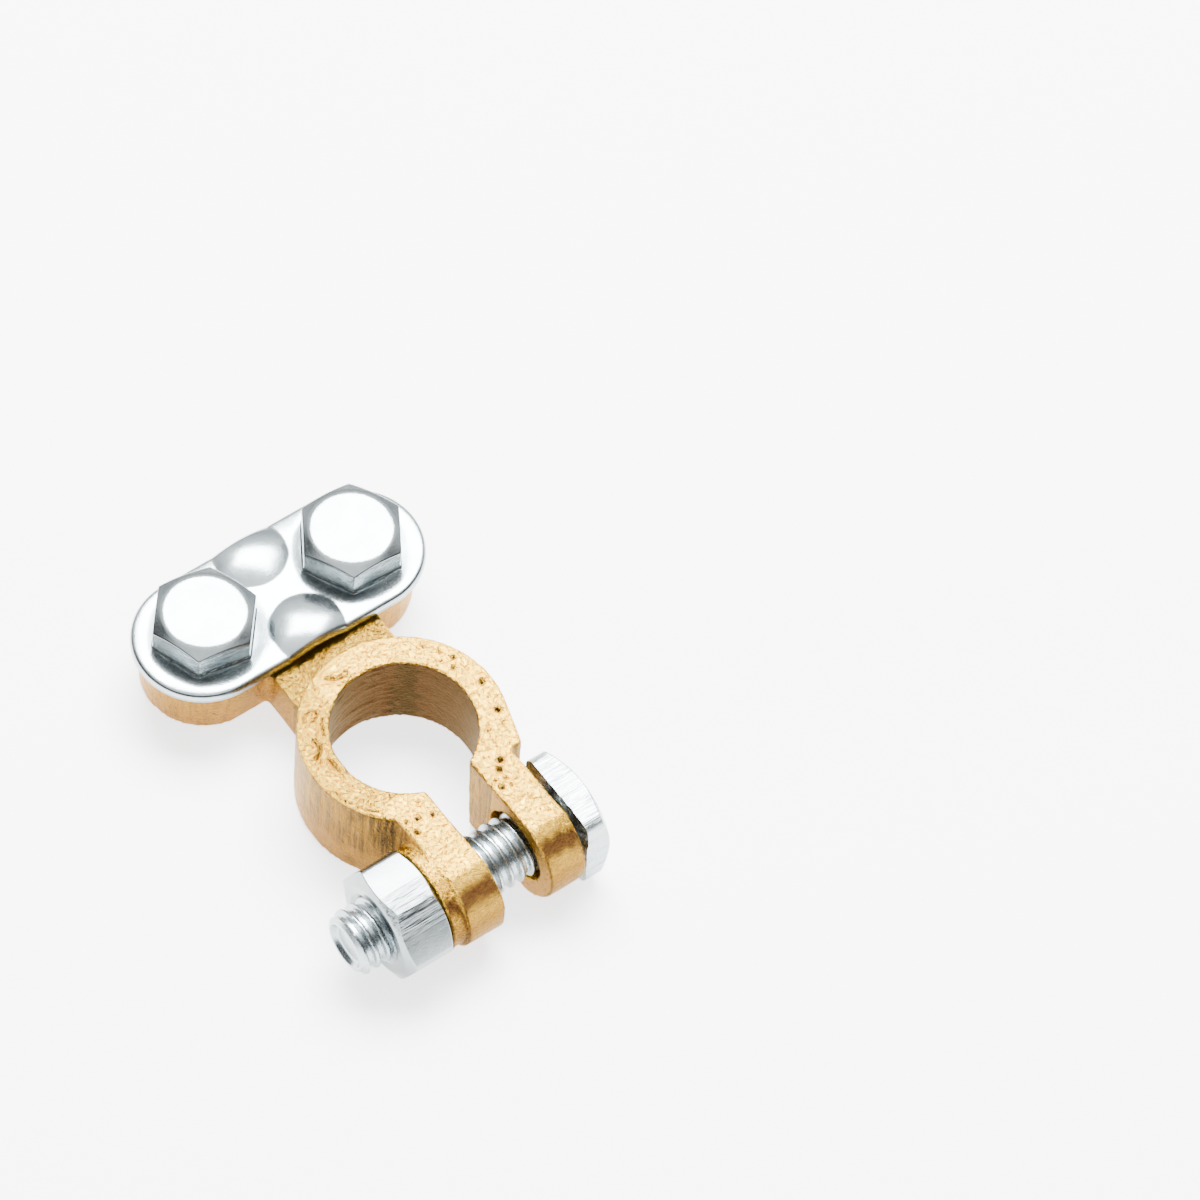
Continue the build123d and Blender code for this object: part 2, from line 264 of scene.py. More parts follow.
def cast_brass(colours):
    """Yellow brass, cast in a coated die and tumbled.

    Its tops are bright with a leathery skin whose hollows are duller, partly the metal's tone and partly painted shade;
    its walls duller, partly the casting's skin and partly painted shade, and pinkish with draw marks along Z; its bore
    brown, partly oxidised and partly painted shade.
    """
    material, tree, shader, place = new_material("cast brass")
    shader.inputs["Specular Tint"].default_value = (1.0, 0.84, 0.60, 1.0)
    wall, bore, marks, pits, dark, rugged, band = (
        add(tree, "ShaderNodeAttribute", attribute_name=name).outputs["Fac"] for name in ("wall", "bore", "marks", "pits", "scorch", "rugged", "band"))
    # Gold of the tops, in patches about 0.5 mm wide that follow the ripples of the skin, duller in the ripples'
    # hollows: partly the metal's tone, partly painted shade of the ripples
    ripple = add(tree, "ShaderNodeTexNoise", {"Vector": place, "Scale": 1900.0, "Detail": 4.0, "Roughness": 0.6, "Distortion": 1.2}).outputs["Fac"]
    patch = add(tree, "ShaderNodeMapRange", {"Value": ripple, "From Min": 0.36, "From Max": 0.56}).outputs["Result"]
    gold = add(tree, "ShaderNodeMix", {"Factor": patch, "A": colours.brass_dull_and_shade, "B": colours.brass}, data_type="RGBA").outputs["Result"]
    # Walls: straw to copper pink, in clouds about 4 mm wide, pinker towards the bottom; their brass is darker than the
    # tops', partly the casting's skin and partly painted shade
    cloud = add(tree, "ShaderNodeTexNoise", {"Vector": place, "Scale": 240.0, "Detail": 5.0, "Roughness": 0.6}).outputs["Fac"]
    height = add(tree, "ShaderNodeSeparateXYZ", {"Vector": place}).outputs["Z"]
    low = add(tree, "ShaderNodeMapRange", {"Value": height, "From Min": 0.0075, "From Max": 0.001}).outputs["Result"]
    pink = add(tree, "ShaderNodeMath", {0: low, 1: cloud, 2: 0.1}, operation="MULTIPLY_ADD").outputs["Value"]
    # The walls' colour: partly the casting's skin, partly painted shade
    skin = add(tree, "ShaderNodeMix", {"Factor": pink, "A": colours.brass_wall_and_shade, "B": colours.brass_pink}, data_type="RGBA").outputs["Result"]
    walled = add(tree, "ShaderNodeMix", {"Factor": wall, "A": gold, "B": skin}, data_type="RGBA").outputs["Result"]
    # Bore: grey brown, partly oxidised and partly painted shade, with a darker wedge of painted shade
    oxide_and_shade = add(tree, "ShaderNodeMix", {"Factor": dark, "A": colours.brass_oxide_and_shade, "B": colours.brass_scorch}, data_type="RGBA").outputs["Result"]
    # Dark stripe under the bright edge of each lug's end, a painted reflection of the dark room, and a darker tone on
    # the collar's walls, painted shade
    banded = add(tree, "ShaderNodeMix", {"Factor": band, "A": walled, "B": colours.brass_oxide_and_shade}, data_type="RGBA").outputs["Result"]
    bored = add(tree, "ShaderNodeMix", {"Factor": bore, "A": banded, "B": oxide_and_shade}, data_type="RGBA").outputs["Result"]
    # Draw marks: lines 0.45 mm apart and several millimetres long, along Z, dark where they are deep
    drawn = add(tree, "ShaderNodeMapping", {"Vector": place, "Scale": (1.0, 1.0, 0.07)}).outputs["Vector"]
    lines = add(tree, "ShaderNodeTexNoise", {"Vector": drawn, "Scale": 2200.0, "Detail": 4.0, "Roughness": 0.65}).outputs["Fac"]
    deep = add(tree, "ShaderNodeMapRange", {"Value": lines, "From Min": 0.43, "From Max": 0.58}).outputs["Result"]
    shade = add(tree, "ShaderNodeMath", {0: deep, 1: marks}, operation="MULTIPLY", use_clamp=True).outputs["Value"]
    lined = add(tree, "ShaderNodeMix", {"Factor": shade, "A": bored, "B": colours.brass_line}, data_type="RGBA").outputs["Result"]
    # Dirt: specks about 0.3 mm wide on the walls, and the blow holes; the same dark colour paints the shadow under the
    # strap's edge
    specks = add(tree, "ShaderNodeTexNoise", {"Vector": place, "Scale": 1900.0, "Detail": 2.0, "Roughness": 0.5}).outputs["Fac"]
    speck = add(tree, "ShaderNodeMapRange", {"Value": specks, "From Min": 0.66, "From Max": 0.72, "To Max": 0.8}).outputs["Result"]
    on_wall = add(tree, "ShaderNodeMath", {0: speck, 1: wall}, operation="MULTIPLY").outputs["Value"]
    darkening = add(tree, "ShaderNodeMath", {0: on_wall, 1: pits}, operation="ADD", use_clamp=True).outputs["Value"]
    darkened = add(tree, "ShaderNodeMix", {"Factor": darkening, "A": lined, "B": colours.brass_dirt_and_shadow}, data_type="RGBA").outputs["Result"]
    tree.links.new(darkened, shader.inputs["Base Color"])
    worn = add(tree, "ShaderNodeMath", {0: wall, 1: 0.04, 2: 0.23}, operation="MULTIPLY_ADD").outputs["Value"]
    rough = add(tree, "ShaderNodeMath", {0: bore, 1: 0.10, 2: worn}, operation="MULTIPLY_ADD").outputs["Value"]
    tree.links.new(rough, shader.inputs["Roughness"])
    # Skin: grains about 0.3 mm wide over leathery ripples about 0.5 mm wide, higher where the skin is rugged, then the draw marks
    grain = add(tree, "ShaderNodeTexNoise", {"Vector": place, "Scale": 3400.0, "Detail": 3.0, "Roughness": 0.6}).outputs["Fac"]
    heave = add(tree, "ShaderNodeMath", {0: rugged, 1: 0.00025, 2: 0.00024}, operation="MULTIPLY_ADD").outputs["Value"]
    prick = add(tree, "ShaderNodeMath", {0: rugged, 1: 0.00018, 2: 0.0001}, operation="MULTIPLY_ADD").outputs["Value"]
    fine = add(tree, "ShaderNodeBump", {"Height": grain, "Strength": 0.9, "Distance": prick}).outputs["Normal"]
    coarse = add(tree, "ShaderNodeBump", {"Height": ripple, "Strength": 0.9, "Distance": heave, "Normal": fine}).outputs["Normal"]
    groove = add(tree, "ShaderNodeBump", {"Height": lines, "Strength": marks, "Distance": 0.00022, "Normal": coarse}).outputs["Normal"]
    tree.links.new(groove, shader.inputs["Normal"])
    return material


def zinc_plate(name, colours, line_turn, satin_rough, painted_shade=0.0):
    """Bright zinc plating on steel: a bluish white satin, cloudy, with hairlines and, where marked, the coarse lines
    that shearing and forging leave, which on the screws' flats are a painted dark reflection; the last argument is the
    share of the lines' darker metal mixed in all over, a painted shade.
    """
    material, tree, shader, place = new_material(name)
    marks = add(tree, "ShaderNodeAttribute", attribute_name="marks").outputs["Fac"]
    cloud = add(tree, "ShaderNodeTexNoise", {"Vector": place, "Scale": 300.0, "Detail": 5.0, "Roughness": 0.6}).outputs["Fac"]
    tone = add(tree, "ShaderNodeMapRange", {"Value": cloud, "From Min": 0.35, "From Max": 0.65}).outputs["Result"]
    base = add(tree, "ShaderNodeMix", {"Factor": tone, "A": colours.zinc_blue, "B": colours.zinc}, data_type="RGBA").outputs["Result"]
    # Hairlines 0.15 mm apart and coarse lines 0.35 mm apart, stretched 25 times along one direction
    turned_place = add(tree, "ShaderNodeMapping", {"Vector": place, "Rotation": line_turn, "Scale": (0.04, 1.0, 1.0)}).outputs["Vector"]
    hair = add(tree, "ShaderNodeTexNoise", {"Vector": turned_place, "Scale": 5200.0, "Detail": 2.0, "Roughness": 0.5}).outputs["Fac"]
    coarse = add(tree, "ShaderNodeTexNoise", {"Vector": turned_place, "Scale": 2300.0, "Detail": 3.0, "Roughness": 0.7}).outputs["Fac"]
    deep = add(tree, "ShaderNodeMapRange", {"Value": coarse, "From Min": 0.54, "From Max": 0.68}).outputs["Result"]
    shade = add(tree, "ShaderNodeMath", {0: deep, 1: marks, 2: painted_shade}, operation="MULTIPLY_ADD", use_clamp=True).outputs["Value"]
    lined = add(tree, "ShaderNodeMix", {"Factor": shade, "A": base, "B": colours.zinc_line_and_shade}, data_type="RGBA").outputs["Result"]
    tree.links.new(lined, shader.inputs["Base Color"])
    satin = add(tree, "ShaderNodeTexNoise", {"Vector": place, "Scale": 4500.0, "Detail": 2.0, "Roughness": 0.6}).outputs["Fac"]
    rough = add(tree, "ShaderNodeMapRange", {"Value": satin, "From Min": 0.3, "From Max": 0.7, "To Min": satin_rough, "To Max": satin_rough + 0.1}).outputs["Result"]
    tree.links.new(rough, shader.inputs["Roughness"])
    wavy = add(tree, "ShaderNodeBump", {"Height": cloud, "Strength": 0.2, "Distance": 0.00015}).outputs["Normal"]
    brushed = add(tree, "ShaderNodeBump", {"Height": hair, "Strength": 0.06, "Distance": 0.00002, "Normal": wavy}).outputs["Normal"]
    grained = add(tree, "ShaderNodeBump", {"Height": satin, "Strength": 0.35, "Distance": 0.00002, "Normal": brushed}).outputs["Normal"]
    scored = add(tree, "ShaderNodeBump", {"Height": coarse, "Strength": marks, "Distance": 0.00016, "Normal": grained}).outputs["Normal"]
    tree.links.new(scored, shader.inputs["Normal"])
    return material


# ------------------------------------------------------------------ sizes and colours a user would change

class ClampColours(bpy.types.PropertyGroup):
    brass: FloatVectorProperty(name="Brass", description="Bright brass of the casting's tops", default=linear("#DAAF3C"), size=4, min=0, max=1, subtype="COLOR")
    # Duller gold of the skin's hollows: partly tone, partly painted shade
    brass_dull_and_shade: FloatVectorProperty(name="Dull brass", description="Duller patches between them", default=linear("#C08D20"), size=4, min=0, max=1, subtype="COLOR")
    # Wall colour: partly the casting's skin, partly painted shade
    brass_wall_and_shade: FloatVectorProperty(name="Wall", description="Straw-coloured skin of the walls", default=linear("#9A701F"), size=4, min=0, max=1, subtype="COLOR")
    brass_pink: FloatVectorProperty(name="Copper bloom", description="Pinkish copper bloom low on the walls", default=linear("#9C6A3B"), size=4, min=0, max=1, subtype="COLOR")
    # Brown of the bore: partly oxidised brass, partly painted shade; also paints the dark reflection on the lug ends
    # and the darker collar walls
    brass_oxide_and_shade: FloatVectorProperty(name="Oxide", description="Brown oxide of the bore", default=linear("#3D2416"), size=4, min=0, max=1, subtype="COLOR")
    # Painted shade of the bore's darkest wedge
    brass_scorch: FloatVectorProperty(name="Scorch", description="Darkest part of the bore", default=linear("#241209"), size=4, min=0, max=1, subtype="COLOR")
    brass_line: FloatVectorProperty(name="Draw marks", description="Dirt in the draw marks of the walls", default=linear("#382619"), size=4, min=0, max=1, subtype="COLOR")
    # Also paints the shadow under the strap's edge
    brass_dirt_and_shadow: FloatVectorProperty(name="Dirt", description="Dirt in the blow holes", default=linear("#27180A"), size=4, min=0, max=1, subtype="COLOR")
    zinc: FloatVectorProperty(name="Zinc", description="Bright zinc plating", default=linear("#A4ACAE"), size=4, min=0, max=1, subtype="COLOR")
    zinc_blue: FloatVectorProperty(name="Blue zinc", description="Bluer passivated clouds in it", default=linear("#95A1A6"), size=4, min=0, max=1, subtype="COLOR")
    # Also mixed in as painted shade on the nut and screws, and as a painted dark reflection on the screws' flats
    zinc_line_and_shade: FloatVectorProperty(name="Zinc lines", description="Dull metal in the sheared and forged lines", default=linear("#525250"), size=4, min=0, max=1, subtype="COLOR")
    floor: FloatVectorProperty(name="Floor", description="Pale floor under the clamp", default=linear("#F8F8F8"), size=4, min=0, max=1, subtype="COLOR")


class ClampSizes(bpy.types.PropertyGroup):
    cell: FloatProperty(name="Skin cell", description="Cell of the casting's remeshed skin", default=0.00025, min=0.0002, max=0.001, precision=5, unit="LENGTH")
    skin: FloatProperty(name="Skin relief", description="Height of the casting's flow ripples", default=0.00004, min=0.0, max=0.0002, precision=5, unit="LENGTH")
    bolt_pitch: FloatProperty(name="Bolt pitch", description="Travel of the clamp nut in one turn", default=0.001411, min=0.0005, max=0.002, precision=6, unit="LENGTH")
    screw_pitch: FloatProperty(name="Screw pitch", description="Travel of a cable screw in one turn", default=0.001, min=0.0005, max=0.002, precision=6, unit="LENGTH")
    edge: FloatProperty(name="Edge round", description="Rounding of the fasteners' edges", default=0.00012, min=0.00002, max=0.0005, precision=5, unit="LENGTH")
    per_side: IntProperty(name="Steps a flat", description="Mesh steps along one flat of a head or nut", default=56, min=12, max=120)


# ------------------------------------------------------------------ pieces

class CLAMP_OT_casting(bpy.types.Operator):
    """The cast body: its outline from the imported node, with cast edges, flow ripples, blow holes, wrinkles and draw marks"""
    bl_idname = "clamp.casting"
    bl_label = "Cast body"

    def execute(self, context):
        sizes, colours = context.scene.clamp_sizes, context.scene.clamp_colours
        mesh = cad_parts["clamp_body"].data.copy()
        piece = bpy.data.objects.new("casting", mesh)
        context.scene.collection.objects.link(piece)
        weld = piece.modifiers.new("weld", "WELD")
        weld.merge_threshold = 1e-6
        remesh = piece.modifiers.new("skin", "REMESH")
        remesh.mode = "VOXEL"
        remesh.voxel_size = sizes.cell
        smooth = piece.modifiers.new("cast edges", "SMOOTH")
        smooth.factor = 0.5
        smooth.iterations = 1
        made = bpy.data.meshes.new_from_object(piece.evaluated_get(context.evaluated_depsgraph_get()))
        piece.modifiers.clear()
        piece.data = made
        made.name = "casting"
        count = len(made.vertices)
        points, normals = np.empty(count * 3), np.empty(count * 3)
        made.vertices.foreach_get("co", points)
        made.vertices.foreach_get("normal", normals)
        points, normals = points.reshape(-1, 3) / MM, normals.reshape(-1, 3)
        x, y, z = points.T
        from_post = np.hypot(x, y)
        outward = (normals[:, 0] * x + normals[:, 1] * y) / np.maximum(from_post, 1e-6)
        towards = np.degrees(np.arctan2(y, x))

        # Where each finish lies, from 0 to 1
        wall = smooth_step(0.55, 0.2, normals[:, 2])
        bore = smooth_step(0.4, 0.8, -outward) * (from_post < 10) * (y > -8.3) * wall
        # A darker wedge of the bore, painted shade
        wedge = smooth_step(13.5 - 0.45 * z, 10.0 - 0.45 * z, np.abs(towards - 53 + 7 * noise(points, 0.9, 5) + 4 * noise(points, 0.4, 9)))
        on_collar = wall * (1 - bore) * (y < 12) * (y > -12)
        # Draw marks grow stronger towards the crease where the collar meets the nut's lug: partly the marks, partly
        # painted shade of the crease
        crease = np.exp(-((towards + 131) / 26) ** 2) * on_collar
        draw = on_collar * (0.72 + 0.28 * crease) * smooth_step(2.0, 6.0, z + 1.5 * noise(points, 2.5, 6))
        lug_end = (y < -16) * wall * smooth_step(-0.1, -0.5, normals[:, 1]) * smooth_step(8.0, 5.0, z)
        ring = on_collar * (y < -8) * (np.abs(normals[:, 0]) > 0.6)
        base = wall * (y > 12)
        marks = np.clip(np.maximum.reduce([draw, 0.5 * lug_end, 0.7 * ring, 0.25 * base]), 0, 1)
        # A dark stripe under the bright edge of each lug's end, a painted reflection of the dark room, and a darker
        # tone on the collar's walls, painted shade; then the rugged places: neck, lug edges and the ring's left
        slope = (-normals[:, 1] + 0.04 * noise(points, 0.9, 8)) * (y < -17)
        band = np.maximum((0.15 * smooth_step(0.20, 0.35, slope) + 0.82 * smooth_step(0.42, 0.64, slope) - 0.55 * smooth_step(0.74, 0.94, slope)) * (z > 3) * (1 - ring), on_collar * (0.42 + 0.25 * noise(points, 1.8, 10)))
        neck = (y > 10.5) * (y < 18.5) * (z > 6.5) * (z < 8.2)
        rugged = np.clip(np.maximum.reduce([1.0 * neck, smooth_step(0.1, 0.4, slope) * (y < -17), 0.35 * (x < -5) * (y > -7)]), 0, 1)

        # Painted shadow in the corner under the strap's edge
        strap_edge_shadow = smooth_step(15.7, 16.05, y + 0.35 * noise(points, 0.6, 11) + 0.15 * noise(points, 0.3, 12)) * (y < 18) * (z > 7.3) * (z < 8.0) * (np.abs(x) < 8.5)

        # Relief along the normal, mm: two sizes of ripple, stronger on the neck, wavy steps in the bore
        relief = noise(points, 1.5, 1) * 0.6 + noise(points, 0.75, 2) * 0.5
        height = relief * sizes.skin / MM * (1 + 1.5 * neck)
        stretched = points * np.array([1.0, 1.0, 3.5])
        height += bore * 0.09 * noise(stretched, 1.9, 3) * smooth_step(58, 66, towards) * smooth_step(135, 110, towards)
        top = z > COLLAR_TOP - 0.45
        flat_points = points[top, :2]
        holes = np.linalg.norm(flat_points[:, None, :] - PITS[None, :, :2], axis=2)
        hole = np.exp(-(holes / (1.15 * PITS[:, 2])) ** 2).max(axis=1)
        lip = np.exp(-((holes - PITS[:, 2] * 1.7) / 0.18) ** 2).max(axis=1)
        dents, darkening = -0.34 * hole + 0.04 * lip, np.clip(4.0 * hole - 1.4, 0, 1)
        for path, width, rise in WRINKLES:
            away = distance_to_path(flat_points, path)
            groove = np.exp(-(away / width) ** 2)
            dents += 2.6 * rise * np.exp(-((away - 1.6 * width) / (0.8 * width)) ** 2) - 0.28 * groove
            darkening = np.maximum(darkening, 1.1 * groove ** 3)
        # The dark of the blow holes and wrinkles and the painted shadow under the strap's edge share one mask
        pits = 0.95 * strap_edge_shadow
        pits[top] = darkening
        height[top] += dents
        # Beads left by the die along the edge of the nut's seat
        along_rim = np.arctan2(z - BOLT_Z, y - BOLT_Y)
        bead_turns = np.radians([70, 88, 104, 121, 139, 163, 201, 232])
        off_rim = np.hypot(np.hypot(y - BOLT_Y, z - BOLT_Z) - 6.25, x - NUT_SEAT - 0.15)
        for turn in bead_turns:
            height += 0.20 * np.exp(-(off_rim / 0.28) ** 2 - ((along_rim - turn + np.pi) % (2 * np.pi) - np.pi) ** 2 / 0.0025)
        moved = points + normals * height[:, None]
        lowest = points[:, 2].min()
        moved[:, 2] = np.maximum(moved[:, 2], lowest)
        made.vertices.foreach_set("co", (moved * MM).ravel())
        made.update()
        mark(made, wall=wall, bore=bore, marks=marks, pits=pits, scorch=wedge * bore, rugged=rugged, band=np.clip(band, 0, 1))
        made.materials.clear()
        made.materials.append(cast_brass(colours))
        made.shade_smooth()
        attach(piece, "casting")
        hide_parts("clamp_body")
        return {"FINISHED"}


class CLAMP_OT_bolt(bpy.types.Operator):
    """The clamp bolt: a sheared square head with chamfered corners, and a rolled thread with a hollow end"""
    bl_idname = "clamp.bolt"
    bl_label = "Clamp bolt"

    def execute(self, context):
        sizes, colours = context.scene.clamp_sizes, context.scene.clamp_colours
        edge, pitch = sizes.edge / MM, sizes.bolt_pitch / MM
        axes = (np.array([0.0, BOLT_Y, BOLT_Z]), np.array([0, 1.0, 0]), np.array([0, 0, 1.0]), np.array([1.0, 0, 0]))
        turn = math.radians(-1.9)
        angle = polygon_angles(4, turn, sizes.per_side + 36)
        corner = 6.0 * math.sqrt(2)
        drop = (corner - 5.8) * math.tan(math.radians(30))
        path = round_path(
            [(HEAD_FACE, 2.0), (HEAD_FACE, corner + 0.3), (HEAD_FACE + 3.3 - drop, corner + 0.3), (HEAD_FACE + 3.3, 5.8), (HEAD_FACE + 3.3, 0.0)],
            (0.15, 0.1, 0.35), 0.18)
        flats = polygon_radius(angle, 4, turn, 12.0, 1.6)
        along = np.repeat(path[:, :1], len(angle), axis=1)
        radius = soft_min(np.broadcast_to(flats, along.shape), np.repeat(path[:, 1:], len(angle), axis=1), edge)
        radius = np.maximum(radius, 0)
        # Burr of the sheared inner face: its rim wanders along the bolt by up to 0.12 mm
        spot = np.stack([np.cos(angle), np.sin(angle), np.zeros_like(angle)], axis=1) * 8
        burr = 0.12 * noise(spot, 0.9, 7) * smooth_step(5.0, 6.0, radius) * smooth_step(HEAD_FACE + 1.0, HEAD_FACE, along)
        along = np.maximum(along + burr, HEAD_FACE - 0.02)
        head, faces = turned(along, radius, angle, axes, False)
        head_marks = np.append(smooth_step(5.7, 5.95, radius).ravel() * 0.9, [0, 0])
        # Shank: crest radius less the thread's depth, whose phase turns once for each pitch; a cone and a dished end
        angle = np.linspace(0, 2 * np.pi, 120, endpoint=False)
        end = HEAD_FACE - 29.0
        dish = round_path([(end + 0.75, 0.03), (end + 0.70, 2.35), (end, 2.85), (end, 3.1)], (0.3, 0.08), 0.10)
        xs = np.arange(end + 0.06, HEAD_FACE + 0.5, 0.075)
        along = np.repeat(np.concatenate([dish[:, 0], xs])[:, None], len(angle), axis=1)
        deep = thread_depth(xs[:, None], angle[None, :], pitch, 0.58, THREAD_START)
        cone = 3.15 + 1.2 * (xs - end)[:, None]
        radius = np.vstack([np.repeat(dish[:, 1:], len(angle), axis=1), soft_min(3.9 - deep, np.broadcast_to(cone, deep.shape), 0.15)])
        shank, more = turned(along, radius, angle, axes, False, first=len(head))
        bolt = finish_mesh("bolt", np.vstack([head, shank]), faces + more, zinc_plate("zinc-plated steel, bolt", colours, (0, 0, 0), 0.24),
                           "bolt", ["clamp_bolt"], 40)
        mark(bolt.data, marks=np.concatenate([head_marks, np.zeros(len(shank))]))
        return {"FINISHED"}


class CLAMP_OT_nut(bpy.types.Operator):
    """The clamp nut: six slightly swollen flats chamfered at both faces, round a countersunk thread that matches the bolt's"""
    bl_idname = "clamp.nut"
    bl_label = "Clamp nut"

    def execute(self, context):
        sizes, colours = context.scene.clamp_sizes, context.scene.clamp_colours
        edge, pitch = sizes.edge / MM, sizes.bolt_pitch / MM
        axes = (np.array([0.0, BOLT_Y, BOLT_Z]), np.array([0, 1.0, 0]), np.array([0, 0, 1.0]), np.array([1.0, 0, 0]))
        turn = math.radians(84.6)
        angle = polygon_angles(6, turn, sizes.per_side)
        corner = 13.0 / math.sqrt(3)
        drop = (corner - 5.7) * math.tan(math.radians(30))
        outer, inner = NUT_SEAT - 6.5, NUT_SEAT
        path = round_path(
            [(outer + 0.7, 3.5), (outer, 4.6), (outer, 5.65), (outer + drop, corner + 0.2), (inner - drop, corner + 0.2), (inner, 5.9), (inner, 4.35), (inner - 0.5, 3.45)],
            (0.12, 0.25, 0.1, 0.1, 0.25, 0.1), 0.10)
        bore = np.arange(inner - 0.6, outer + 0.6, -0.1)
        along = np.repeat(np.concatenate([path[:, 0], bore])[:, None], len(angle), axis=1)
        flats = polygon_radius(angle, 6, turn, 13.0, 0.9, swell=0.12)
        shell = soft_min(np.broadcast_to(flats, (len(path), len(angle))), np.repeat(path[:, 1:], len(angle), axis=1), edge)
        thread = 3.95 - thread_depth(bore[:, None], angle[None, :], pitch, 0.60, THREAD_START)
        points, faces = turned(along, np.vstack([shell, thread]), angle, axes, True)
        # A share of the lines' darker metal all over the nut: painted shade
        nut = finish_mesh("nut", points, faces, zinc_plate("zinc-plated steel, nut", colours, (0, 0, 0), 0.17, painted_shade=0.4),
                          "nut", ["clamp_nut"], 40)
        # Forging lines along the flats' edges, strongest on the flats that face down and away from the strap
        tilt = (angle - turn + np.pi / 6) % (np.pi / 3) - np.pi / 6
        lined = smooth_step(0.0, 0.25, np.abs(tilt)) * 1.3 * (np.cos(angle - math.radians(118)) > 0.85)
        marks = np.vstack([np.repeat(lined[None, :], len(path), axis=0) * smooth_step(6.0, 6.3, shell), np.zeros_like(thread)])
        mark(nut.data, marks=marks)
        return {"FINISHED"}


class CLAMP_OT_screws(bpy.types.Operator):
    """Both cable screws: six flats with a turned chamfer on top and a small one below, over a threaded shank"""
    bl_idname = "clamp.screws"
    bl_label = "Cable screws"

    def execute(self, context):
        sizes, colours = context.scene.clamp_sizes, context.scene.clamp_colours
        edge, pitch = sizes.edge / MM, sizes.screw_pitch / MM
        # A share of the lines' darker metal all over the screws: painted shade
        material = zinc_plate("zinc-plated steel, screws", colours, (0, 0, math.radians(-40)), 0.13, painted_shade=0.2)
        for side, x, degrees in (("left", -SCREW_X, 19.9), ("right", SCREW_X, 27.9)):
            axes = (np.array([x, SCREW_Y, STRAP_TOP]), np.array([1.0, 0, 0]), np.array([0, 1.0, 0]), np.array([0, 0, 1.0]))
            turn = math.radians(degrees)
            angle = polygon_angles(6, turn, sizes.per_side)
            corner = 11.2 / math.sqrt(3)
            drop = (corner - 4.8) * math.tan(math.radians(30))
            path = round_path([(0, 1.5), (0, 5.9), (0.1, corner + 0.2), (0.36, corner + 0.3), (4.0 - drop, corner + 0.2), (4.0, 4.8), (4.0, 0.0)], (0.05, 0.05, 0.02, 0.1, 0.45), 0.12)
            flats = polygon_radius(angle, 6, turn, 11.2, 0.2)
            along = np.repeat(path[:, :1], len(angle), axis=1)
            # A burr stands 0.2 mm proud round the foot of the flats
            foot = 0.2 * smooth_step(0.34, 0.2, along)
            radius = soft_min(flats + foot, np.repeat(path[:, 1:], len(angle), axis=1), edge)
            radius = np.maximum(radius, 0)
            head, faces = turned(along, radius, angle, axes, False)
            # The flats get half the coarse lines, darker: a painted dark reflection on the flats
            flat = smooth_step(5.35, 5.55, radius) * smooth_step(3.4, 3.0, along)
            ring = np.linspace(0, 2 * np.pi, 72, endpoint=False)
            z = np.concatenate([[-8.0, -7.9, -7.7, -7.5], np.arange(-7.3, 0.4, 0.08)])
            along = np.repeat(z[:, None], len(ring), axis=1)
            deep = thread_depth(z[:, None], ring[None, :], pitch, 0.45)
            radius = soft_min(2.95 - deep, 2.3 + (along + 8.0), 0.15)
            shank, more = turned(along, radius, ring, axes, False, first=len(head))
            screw = finish_mesh(f"screw_{side}", np.vstack([head, shank]), faces + more, material,
                                f"screw_{side}", [f"cable_screw_{side}"], 40)
            mark(screw.data, marks=np.concatenate([0.5 * flat.ravel(), np.zeros(2 + len(shank))]))
        return {"FINISHED"}


